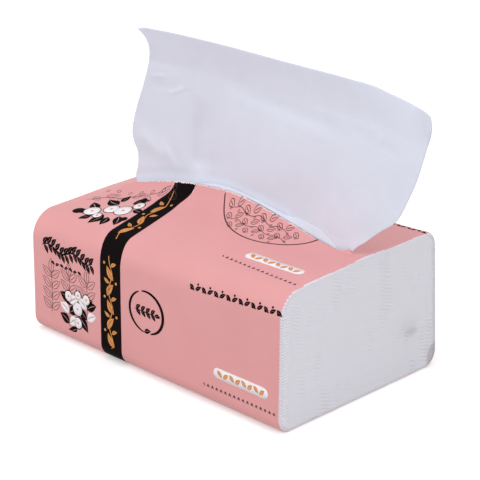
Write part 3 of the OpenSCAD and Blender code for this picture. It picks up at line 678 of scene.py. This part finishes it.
def leaf_shape(length, slender=0.42, bend=0.08, steps=9):
    """Both halves of a leaf as grids: half width = slender (1 - q^2) (1 - 0.3 q), round a bent midrib."""
    q = np.linspace(-1, 1, steps)[:, None]
    h = np.linspace(0.07, 1, 3)[None, :]
    half = length / 2 * slender * (1 - q**2) * (1 - 0.3 * q) + 0.02
    lie = bend * length * (1 - q**2)
    return [np.stack((length / 2 * (q + 1) + 0 * h, lie + s * h * half), -1) for s in (-1, 1)]


def placed(flat, at, angle=0.0, size=1.0):
    """Flat figures turned by an angle in degrees and moved to a place on the print."""
    c, s = np.cos(np.radians(angle)) * size, np.sin(np.radians(angle)) * size
    return [
        np.stack((at[0] + c * g[..., 0] - s * g[..., 1], at[1] + s * g[..., 0] + c * g[..., 1]), -1)
        for g in flat
    ]


def disc(radius, inner=0.0, turns=20):
    """A disc or ring as a grid of radius and angle."""
    a = np.linspace(0, 2 * np.pi, turns + 1)[None, :]
    r = np.linspace(inner, radius, 2 if inner else 3)[:, None]
    return [np.stack((r * np.cos(a), r * np.sin(a)), -1)]


def stroke(points, width, steps=24, thin=0.35):
    """A line through points, thinned at both ends."""
    s = np.linspace(0, 1, steps)
    line = curve_through(points, s)
    run = np.gradient(line, axis=0)
    normal = np.stack((-run[:, 1], run[:, 0]), -1) / np.linalg.norm(run, axis=1)[:, None]
    half = width / 2 * (thin + (1 - thin) * np.sin(np.pi * s) ** 0.5)[:, None]
    return [np.stack((line - half * normal, line + half * normal), 1)]


def leaf_line(length, slender=0.5, width=0.3):
    """The outline of a leaf in two thin strokes, with its midrib."""
    h = length / 2 * slender
    sides = [[(0, 0), (0.3 * length, s * h), (0.7 * length, 0.75 * s * h), (length, 0)] for s in (-1, 1)]
    midrib = [(share * length, 0) for share in (0.1, 0.45, 0.8)]
    return stroke(sides[0], width, 12) + stroke(sides[1], width, 12) + stroke(midrib, width, 5)


def print_piece(name, wall_figures, slope_figures, material, lift=0.08, replaced=None):
    """Flat figures laid on the film as thin ink: wall figures on both walls, slope figures in plan."""
    points, faces, count = [], [], 0
    laid = [(on_wall, (g[..., 0], g[..., 1], side)) for g in wall_figures for side in (-1, 1)]
    laid += [(on_slope, (g[..., 0], g[..., 1])) for g in slope_figures]
    for lay, where in laid:
        g = lay(*where, lift)
        r, c = (min(k // 2, k - 2) for k in g.shape[:2])
        outward = (lay(*where, lift + 1) - g)[r, c]
        facing = np.cross(g[r + 1, c + 1] - g[r, c], g[r + 1, c] - g[r, c + 1])
        cells = grid_faces(*g.shape[:2], first=count)
        faces.append(cells if facing @ outward > 0 else cells[:, ::-1])
        points.append(g.reshape(-1, 3))
        count += g.shape[0] * g.shape[1]
    piece = mesh_piece(name, np.concatenate(points), np.concatenate(faces), material)
    weld(piece, 0.000001)
    thicken(piece, 0.03)
    if replaced:
        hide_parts(replaced)


band_leaf_length, band_leaf_tilt = 8.4, 35.0
centred = [g - (band_leaf_length / 2, 0) for g in leaf_shape(band_leaf_length)]
wall_vine = stroke([(band_place + 1.6 * np.sin(k * 1.57), 6 + 4.6 * k) for k in range(12)], 0.6, 90, 0.7)
slope_vine = stroke([(band_place - 2.2 - 1.6 * np.sin(k * 1.57), -48 + 4.6 * k) for k in range(10)], 0.6, 80, 0.7)
for k in range(5):
    wall_vine += placed(centred, (band_place, 12 + 9 * k), 90 + (band_leaf_tilt if k % 2 == 0 else -band_leaf_tilt))
    side = 1 if k % 2 == 0 else -1
    wall_vine += placed(leaf_shape(4.6), (band_place + 0.6 * side, 15.5 + 9 * k), 90 - side * 62)
    wall_vine += placed(disc(0.75), (band_place - 4.4 * side, 16.5 + 9 * k))
for k, y in enumerate((-41, -30, -19)):
    side = 1 if k % 2 == 0 else -1
    slope_vine += placed(centred, (band_place - 2.4, y), 90 - side * band_leaf_tilt)
    slope_vine += placed(leaf_shape(4.6), (band_place - 2.4 - 0.6 * side, y + 4.2), 90 + side * 62)
    slope_vine += placed(disc(0.75), (band_place - 2.4 + 4.4 * side, y + 5))
slope_vine += [g * (1, -1) for g in slope_vine]
print_piece("amber_vine", wall_vine, slope_vine, ink_amber, 0.12, "band_leaves")


# ---- The ring --------------------------------------------------------------------------
# A brushed ring in black ink on each long wall, in two strokes that swell and thin out, with
# a lying spray of leaves inside it.
ring_place, ring_width, ring_height, ring_line = (-2.2, 35.0), 26.0, 23.4, 1.7


def brushed_arc(start, end, width, turns=60):
    """Part of a ring whose line swells from 0.3 of its width to all of it and back."""
    s = np.linspace(0, 1, turns + 1)[:, None]
    a = np.radians(start + s * (end - start))
    line = width * (0.3 + 0.7 * np.sin(np.pi * s) ** 0.6)
    r = 1 - ((ring_line - line) / 2 + line * np.array([[0.0, 1.0]])) * 2 / ring_height
    return [np.stack((ring_width / 2 * r * np.cos(a), ring_height / 2 * r * np.sin(a)), -1)]


ring = placed(brushed_arc(-76, 106, ring_line) + brushed_arc(117, 262, 0.8 * ring_line), ring_place)
ring += placed(leaf_shape(5.0, 0.5), (ring_place[0] - 1.5, ring_place[1] - 10.8), 20)
for k in range(4):
    for turn in (42, -42):
        ring += placed(leaf_shape(4.2, 0.5), (ring_place[0] - 7.4 + 3.6 * k, ring_place[1]), turn)
ring += placed(leaf_shape(4.2, 0.5), (ring_place[0] + 6.0, ring_place[1]))
ring += stroke([(ring_place[0] + dx, ring_place[1]) for dx in (-8.6, 0, 6.6)], 0.5)
print_piece("dark_rings", ring, [], ink_black, 0.08, "printed_rings")


# ---- The large circle on the top -------------------------------------------------------
# A thin circle in brown ink on the front slope, cut off by the slot. A garland of leaf
# outlines, small rings and two wavy strokes fills what is left of it.
circle_place, circle_width, circle_height, circle_line = (32.0, 13.0), 71.0, 67.0, 0.6
ink_brown = gravure_ink("brown_gravure_ink", 420, "33191B", "4C2E2F", 0.5, 0.2)
cuts = np.arcsin(2 * (circle_place[1] + np.array((slot_width / 2 + 0.8, 3.1))) / circle_height)
a = np.linspace(np.pi + cuts[0], 2 * np.pi - cuts[1], 91)[:, None]
r = circle_line * np.array([[0.0, 1.0]])
arc = np.stack(((circle_width / 2 - r) * np.cos(a), (circle_height / 2 - r) * np.sin(a)), -1)
circle = placed([arc], circle_place)
for row_y, row_x, count in ((-5.6, 7.0, 9), (-10.2, 9.5, 8), (-14.6, 14.0, 6)):
    for k in range(count):
        circle += placed(leaf_line(4.6, 0.5, 0.28), (row_x + 5.4 * k, row_y - 0.6 * (k % 2)), 34 if k % 2 else -26)
        circle += placed(disc(0.65, 0.45, 12), (row_x + 2.6 + 5.4 * k, row_y - 2.4))
for row_y in (-7.4, -12.4):
    circle += stroke([(8.0 + 4.2 * k - 0.45 * row_y, row_y + 0.9 * np.sin(1.9 * k)) for k in range(10)], 0.26, 60, 0.8)
print_piece("thin_circle", [], circle, ink_brown, 0.08, "printed_circle")


# ---- Labels ----------------------------------------------------------------------------
# White pills with round ends by the near end, on both walls and the front slope, each with
# a row of amber leaves. Beside each runs a row of tiny leaves in brown ink.
label_length, label_height = 37.0, 5.6
ink_white = gravure_ink("white_gravure_ink", 300, "E9E1E6", "F3EEF1", 0.5)


def pill(length, height, steps=40):
    """A pill as a grid: half height = sqrt(r^2 - past^2) beyond the straight part."""
    x = -np.cos(np.linspace(0, np.pi, steps))[:, None] * length / 2
    past = np.clip(np.abs(x) - (length - height) / 2, 0, None)
    half = np.sqrt(np.clip((height / 2) ** 2 - past**2, 1e-4, None))
    return [np.stack((x + 0 * np.linspace(-1, 1, 3), half * np.linspace(-1, 1, 3)), -1)]


label_wall, label_slope = (64.0, 19.0), (61.5, -31.0)
print_piece("white_labels", placed(pill(label_length, label_height), label_wall),
            placed(pill(label_length, label_height), label_slope), ink_white, 0.08, "printed_labels")
row = []
for k in range(8):
    row += placed(leaf_shape(4.4, 0.5, 0.0), (-16.0 + 4.1 * k, -1.5 if k % 2 else 1.5), 40 if k % 2 else -40)
print_piece("amber_dots", placed(row, label_wall), placed(row, label_slope), ink_amber, 0.11)

dashes_wall, dashes_slope = [], []
for k in range(33):
    turn = 58 if k % 2 else 122
    dashes_wall += placed(leaf_shape(1.9, 0.32, 0.0, 5), (39.4 + 1.5 * k, 9.8), turn)
    dashes_slope += placed(leaf_shape(1.9, 0.32, 0.0, 5), (34.4 + 1.62 * k, -38.6 - 0.15 * k), turn)
print_piece("fine_lines", dashes_wall, dashes_slope, ink_brown, 0.08)


# ---- Sprigs and ornaments --------------------------------------------------------------
# At the far end of both walls stand three sprigs in brown outline. The lower leaves of two are
# full black and white, with white berries. A black garland and a short row of leaves run over
# them, a long row of leaves over the label, and a like spray lies on the front slope.
leaf_length, leaf_spacing = 8.0, 0.72
outlines, black, white, amber = [], [], [], []
for at, foot, pairs, full in ((-75.0, 13.0, 4, 0), (-61.0, 9.0, 5, 3), (-47.05, 15.0, 4, 2)):
    tip = foot + leaf_spacing * leaf_length * (pairs + 0.05)
    outlines += placed(leaf_line(leaf_length, 0.45, 0.26), (at, tip - 1.5), 90)
    outlines += stroke([(at, foot), (at + 0.3, foot + 15), (at, tip)], 0.3)
    for k in range(1, pairs + 1):
        height = foot + leaf_spacing * leaf_length * (k - 0.6)
        for side in (-1, 1):
            if k > full:
                outlines += placed(leaf_line(leaf_length, 0.45, 0.26), (at + side * 0.3, height), 90 - side * 52)
            else:
                filled = placed(leaf_shape(leaf_length, 0.62, 0.08 * side), (at + side * 0.2, height), 90 - side * 62)
                white, black = (white + filled, black) if (k + (side > 0)) % 2 == 0 else (white, black + filled)
berries = (
    ((-54.5, 21.0), 3.6), ((-61.5, 26.0), 2.8), ((-54.0, 28.5), 2.3),
    ((-47.5, 28.0), 2.6), ((-54.2, 13.5), 2.9),
)
for at, radius in berries:
    black += placed(disc(radius + 0.45, radius - 0.3, 28), at)
    white += placed(disc(radius), at)
    amber += placed(disc(0.6), at)
black += placed(leaf_shape(9.5, 0.55), (-53.5, 17.0), -42) + placed(leaf_shape(9.0, 0.55), (-50.5, 24.5), 28)
black += placed(leaf_shape(8.5, 0.55), (-58.0, 22.5), 150) + placed(leaf_shape(8.0, 0.5), (-55.0, 10.5), 205)

black += stroke([(-81.5 + 3.25 * k, 48.6 + 1.5 * np.sin(1.05 * k)) for k in range(13)], 0.9, 110)
for k in range(12):
    at, z = -80.6 + 3.25 * k, 48.6 + 1.5 * np.sin(1.05 * (k + 0.28))
    black += placed(leaf_shape(5.6, 0.46), (at, z), 52) + placed(leaf_shape(5.2, 0.46), (at + 0.6, z), -58)
for k in range(7):
    black += placed(leaf_shape(3.1, 0.5), (-75.0 + 3.5 * k, 39.8 if k % 2 else 41.2), 22 if k % 2 else -22)
for k in range(15):
    at, low = 28.6 + 4.15 * k, k % 2
    z = (56.8 if low else 59.0) + 0.066 * (at - 28)
    black += placed(leaf_shape(4.3, 0.46, 0.0), (at, z), 34 if low else -34)
    black += placed(disc(0.6, 0, 12), (at + 1.2, z - 1.9 if not low else z + 3.0))

slope_black, slope_white, slope_outlines, slope_amber = [], [], [], []
spray_leaves = (
    ((-66, -33), 215, 8), ((-64, -30), 150, 9), ((-57, -22), 165, 10), ((-55, -34), 262, 10),
    ((-51, -35), 285, 8), ((-46, -32), 300, 9), ((-44, -24), 350, 7), ((-50, -19), 40, 9),
    ((-58, -19), 95, 7), ((-61, -37), 240, 7),
)
for at, turn, size in spray_leaves:
    slope_black += placed(leaf_shape(size, 0.6), at, turn)
slope_black += placed(disc(3.2), (-71.5, -36.5)) + placed(disc(2.0), (-41.5, -33.0))
slope_black += placed(disc(1.8), (-47.0, -14.0))
spray_berries = (
    ((-64.5, -33.5), 4.4), ((-56.5, -27.5), 4.0), ((-49.0, -26.5), 4.6),
    ((-44.5, -19.5), 3.0), ((-58.0, -36.0), 2.4),
)
for at, radius in spray_berries:
    slope_black += placed(disc(radius + 0.4, radius - 0.3, 28), at)
    slope_white += placed(disc(radius), at)
    slope_amber += placed(disc(0.8), at)
for k in range(7):
    slope_outlines += placed(leaf_line(7.5, 0.45, 0.26), (-78 + 7.2 * k, -20 + 2.1 * k), 40 if k % 2 else -20)
    slope_outlines += placed(disc(1.1, 0.85, 14), (-76 + 7.2 * k, -12 + 1.1 * k))
slope_outlines += stroke([(-80, -24), (-66, -17), (-52, -11), (-40, -7)], 0.35)
for k in range(14):
    slope_black += placed(leaf_shape(3.0, 0.5), (44.5 + 3.3 * k, 44.0 if k % 2 else 45.4), 25 if k % 2 else -25)

print_piece("brown_sprigs", outlines, slope_outlines, ink_brown, 0.08, "printed_sprigs")
print_piece("black_sprigs", black, slope_black, ink_black, 0.08, "printed_sprigs")
print_piece("white_leaves", white, slope_white, ink_white, 0.11, "printed_sprigs")
print_piece("amber_berries", amber, slope_amber, ink_amber, 0.14)


# ---- The studio ------------------------------------------------------------------------
# A plain white table and a white room, lit softly from above and from the left, with a fill
# lamp off the near end and a weak rim lamp behind the pack.
floor_white, tree, skin = new_material("white_table")
tree.nodes.remove(skin)
path = node(tree, "LightPath")
seen = node(
    tree, "Math", {0: path.outputs["Is Camera Ray"], 1: path.outputs["Is Glossy Ray"]}, operation="MAXIMUM"
)
tone = node(tree, "Mix", {"Factor": seen.outputs[0], 6: ink("D8D8D8"), 7: (1, 1, 1, 1)}, data_type="RGBA")
flat = node(tree, "BsdfDiffuse", {"Color": tone.outputs[2]})
lift = node(tree, "Math", {0: seen.outputs[0], 1: 0.25}, operation="MULTIPLY")
white = node(tree, "Emission", {"Color": (1, 1, 1, 1), "Strength": lift.outputs[0]})
both = node(tree, "AddShader", {0: flat.outputs[0], 1: white.outputs[0]})
tree.links.new(both.outputs[0], tree.nodes["Material Output"].inputs["Surface"])
table = bpy.data.meshes.new("table")
table.from_pydata([(-1.5, -1.5, 0), (1.5, -1.5, 0), (1.5, 1.5, 0), (-1.5, 1.5, 0)], [], [(0, 1, 2, 3)])
table.materials.append(floor_white)
floor = bpy.data.objects.new("table", table)
bpy.context.scene.collection.objects.link(floor)

world = bpy.data.worlds.new("room")
bpy.context.scene.world = world
world.use_nodes = True
tree = world.node_tree
path = node(tree, "LightPath")
seen = node(
    tree, "Math", {0: path.outputs["Is Camera Ray"], 1: path.outputs["Is Glossy Ray"]}, operation="MAXIMUM"
)
strength = node(tree, "MapRange", {0: seen.outputs[0], 3: 0.45, 4: 1.0})
tree.links.new(strength.outputs[0], tree.nodes["Background"].inputs["Strength"])
tree.nodes["Background"].inputs["Color"].default_value = (1, 1, 1, 1)


def softbox(name, place, aim, size, power):
    """A square area lamp at place, turned to aim."""
    lamp = bpy.data.objects.new(name, bpy.data.lights.new(name, "AREA"))
    lamp.data.size = size
    lamp.data.energy = power
    lamp.location = place
    away = np.subtract(place, aim)
    lamp.rotation_euler = (np.arccos(away[2] / np.linalg.norm(away)), 0, np.arctan2(away[1], away[0]) + np.pi / 2)
    bpy.context.scene.collection.objects.link(lamp)


softbox("overhead", (0.1, -0.1, 1.6), (0, 0, 0), 1.6, 10.2)
softbox("key", (-0.7, -1.5, 1.0), (0, 0, 0.06), 1.0, 13)
softbox("fill", (1.6, -0.3, 0.7), (0, 0, 0.06), 1.0, 7.5)
softbox("rim", (1.1, 1.3, 0.6), (0, 0, 0.06), 1.0, 3.5)

bpy.context.scene.view_settings.view_transform = "Standard"
